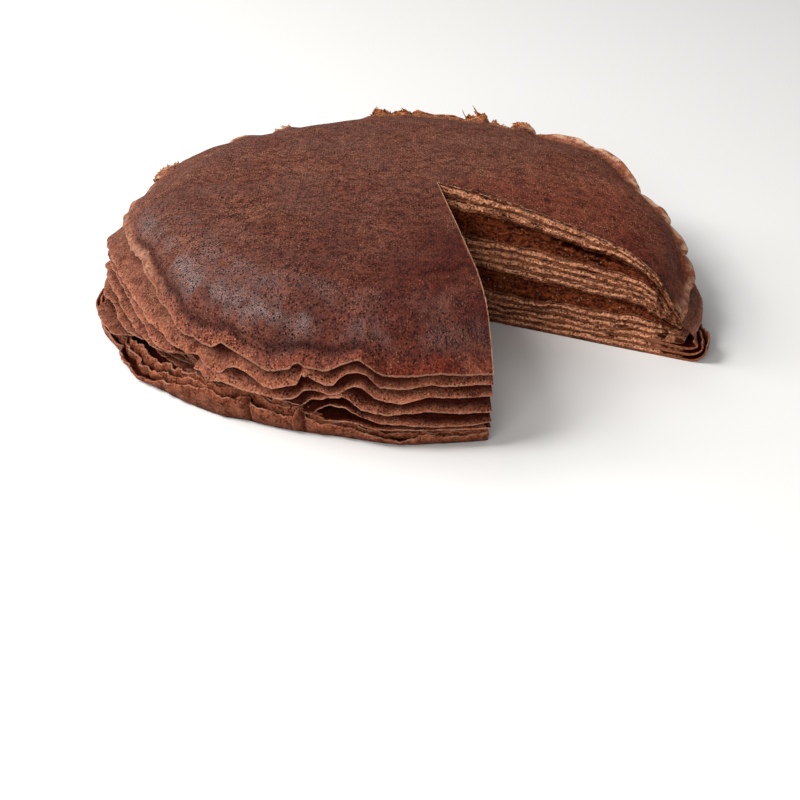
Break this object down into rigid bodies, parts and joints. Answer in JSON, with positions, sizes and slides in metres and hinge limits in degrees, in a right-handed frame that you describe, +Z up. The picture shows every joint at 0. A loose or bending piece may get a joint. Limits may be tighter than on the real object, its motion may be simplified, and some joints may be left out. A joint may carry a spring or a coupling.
{
  "type": "crepe cake",
  "caption": "Round chocolate crepe cake with one wedge cut out: thin crepes layered with cream and two thick chocolate fillings, drooping in ruffled edges round the rim.",
  "frame": {"origin": "centre of the round underside, on the surface the cake stands on", "axes": "+Z up through the cake, +X to the right and +Y away seen from the front; the missing wedge opens towards -Y and +X"},
  "size_m": [0.2252, 0.2288, 0.0513],
  "materials": {
    "crepe": "baked batter, soft and slightly shiny",
    "top_crepe": "baked skin, dark, fine pores, a patchy moist sheen",
    "cream": "whipped cream, grainy and matt",
    "filling": "set chocolate filling, dense and matt"
  },
  "bodies": {
    "root": {"crepe_01": "crepe", "crepe_02": "crepe", "crepe_03": "crepe", "crepe_04": "crepe", "crepe_05": "crepe", "crepe_06": "crepe", "crepe_07": "crepe", "crepe_08": "crepe", "crepe_09": "crepe", "crepe_10": "crepe", "crepe_11": "crepe", "crepe_12": "crepe", "crepe_13": "crepe", "crepe_14": "top_crepe", "cream_01": "cream", "cream_02": "cream", "cream_03": "cream", "cream_04": "cream", "cream_05": "cream", "cream_06": "cream", "cream_07": "cream", "cream_08": "cream", "cream_09": "cream", "cream_10": "cream", "cream_11": "cream", "lower_filling": "filling", "upper_filling": "filling"}
  },
  "joints": []
}
